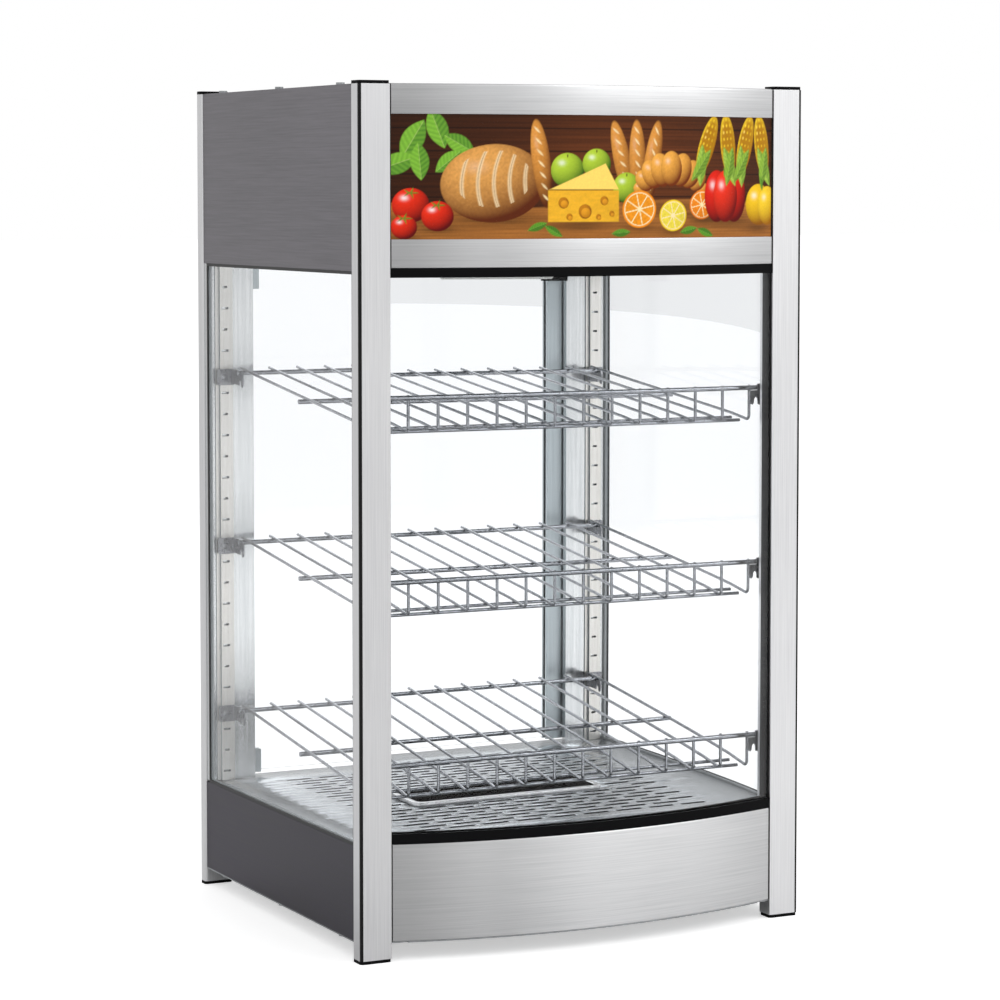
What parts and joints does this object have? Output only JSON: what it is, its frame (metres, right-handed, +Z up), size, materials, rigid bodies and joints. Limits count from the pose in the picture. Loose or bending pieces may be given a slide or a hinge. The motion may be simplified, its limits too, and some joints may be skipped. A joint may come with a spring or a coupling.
{
  "type": "heated display case",
  "caption": "Countertop heated display case with a bowed glass front, lit picture header, sloping wire shelves on slotted standards, slotted deck with water tray, and a hinged rear glass door.",
  "frame": {"origin": "centre of the footprint on the table the case stands on", "axes": "+X to the right seen from the bowed front, +Y to the rear door, +Z up"},
  "size_m": [0.468, 0.451, 0.81],
  "materials": {
    "post_metal": "satin anodised, fine vertical grain",
    "side_steel": "brushed stainless, grain running front to back",
    "front_steel": "brushed stainless, grain along the curve",
    "deck_steel": "polished stainless",
    "column_steel": "mirror-polished stainless",
    "standard_metal": "zinc-plated steel strip",
    "clip_metal": "bright zinc plate",
    "wire_chrome": "chrome-plated wire",
    "black_rubber": "smooth black rubber",
    "black_plastic": "moulded, fine matt",
    "gloss_black": "moulded, semi-gloss",
    "clear_glass": "clear toughened glass",
    "picture": "translucent acrylic with a printed picture",
    "door_metal": "satin anodised",
    "tray_steel": "pressed stainless, dark inside",
    "element_steel": "heat-tinted stainless tube",
    "galvanised": "galvanised sheet",
    "white_sheet": "white powder coat",
    "tube_white": "opal diffuser tube",
    "white_plastic": "moulded, fine matt",
    "lens": "frosted glass",
    "amber": "amber lens",
    "screw_steel": "zinc plated"
  },
  "bodies": {
    "case": {"post_front_left": "post_metal", "post_front_right": "post_metal", "post_rear_left": "post_metal", "post_rear_right": "post_metal", "corner_strips": "black_rubber", "post_caps": "black_plastic", "feet": "black_plastic", "base_floor": "galvanised", "deck": "deck_steel", "ceiling_panel": "deck_steel", "top_cover": "side_steel", "base_left_panel": "side_steel", "base_right_panel": "side_steel", "base_front_panel": "front_steel", "base_rear_panel": "side_steel", "header_left_panel": "side_steel", "header_right_panel": "side_steel", "header_rear_panel": "side_steel", "header_lower_strip": "front_steel", "header_top_strip": "front_steel", "graphic_panel": "picture", "lower_glass_channel": "black_plastic", "upper_glass_channel": "black_plastic", "front_glass": "clear_glass", "side_gaskets": "black_rubber", "side_glass": "clear_glass", "rear_columns": "column_steel", "rear_standards": "standard_metal", "front_standards": "standard_metal", "clips_top": "clip_metal", "clips_middle": "clip_metal", "clips_bottom": "clip_metal", "door_bushes": "white_plastic", "door_catch": "black_plastic", "heating_element": "element_steel", "element_brackets": "galvanised", "thermostat": "white_plastic", "switch_housings": "gloss_black", "indicator_lamp": "amber", "cord_gland": "black_plastic", "terminal_block": "white_plastic", "light_box_back": "white_sheet", "light_tubes": "tube_white", "tube_holders": "white_plastic", "light_driver": "white_plastic", "chamber_lamp": "white_plastic", "lamp_lens": "lens", "screws": "screw_steel"},
    "shelf_top": {"shelf_top": "wire_chrome"},
    "shelf_middle": {"shelf_middle": "wire_chrome"},
    "shelf_bottom": {"shelf_bottom": "wire_chrome"},
    "water_tray": {"water_tray": "tray_steel"},
    "rear_door": {"door_glass": "clear_glass", "door_stile": "door_metal", "door_shoes": "door_metal"},
    "thermostat_knob": {"thermostat_knob": "gloss_black", "thermostat_spindle": "screw_steel"},
    "power_rocker": {"power_rocker": "gloss_black"},
    "light_rocker": {"light_rocker": "gloss_black"}
  },
  "joints": [
    {"name": "shelf_top_lift", "type": "slide", "parent": "case", "child": "shelf_top", "axis": [0, 0, 1], "range_m": [0, 0.012]},
    {"name": "shelf_middle_lift", "type": "slide", "parent": "case", "child": "shelf_middle", "axis": [0, 0, 1], "range_m": [0, 0.012]},
    {"name": "shelf_bottom_lift", "type": "slide", "parent": "case", "child": "shelf_bottom", "axis": [0, 0, 1], "range_m": [0, 0.012]},
    {"name": "water_tray_lift", "type": "slide", "parent": "case", "child": "water_tray", "axis": [0, 0, 1], "range_m": [0, 0.02]},
    {"name": "rear_door_hinge", "type": "hinge", "parent": "case", "child": "rear_door", "pos_m": [-0.1945, 0.204, 0.111], "axis": [0, 0, 1], "range_deg": [0, 105]},
    {"name": "thermostat_turn", "type": "hinge", "parent": "case", "child": "thermostat_knob", "pos_m": [-0.04, 0.2095, 0.062], "axis": [0, 1, 0], "range_deg": [0, 270]},
    {"name": "power_rocker_tilt", "type": "hinge", "parent": "case", "child": "power_rocker", "pos_m": [0.12, 0.2065, 0.062], "axis": [1, 0, 0], "range_deg": [0, 16]},
    {"name": "light_rocker_tilt", "type": "hinge", "parent": "case", "child": "light_rocker", "pos_m": [0.04, 0.2065, 0.062], "axis": [1, 0, 0], "range_deg": [0, 16]}
  ]
}
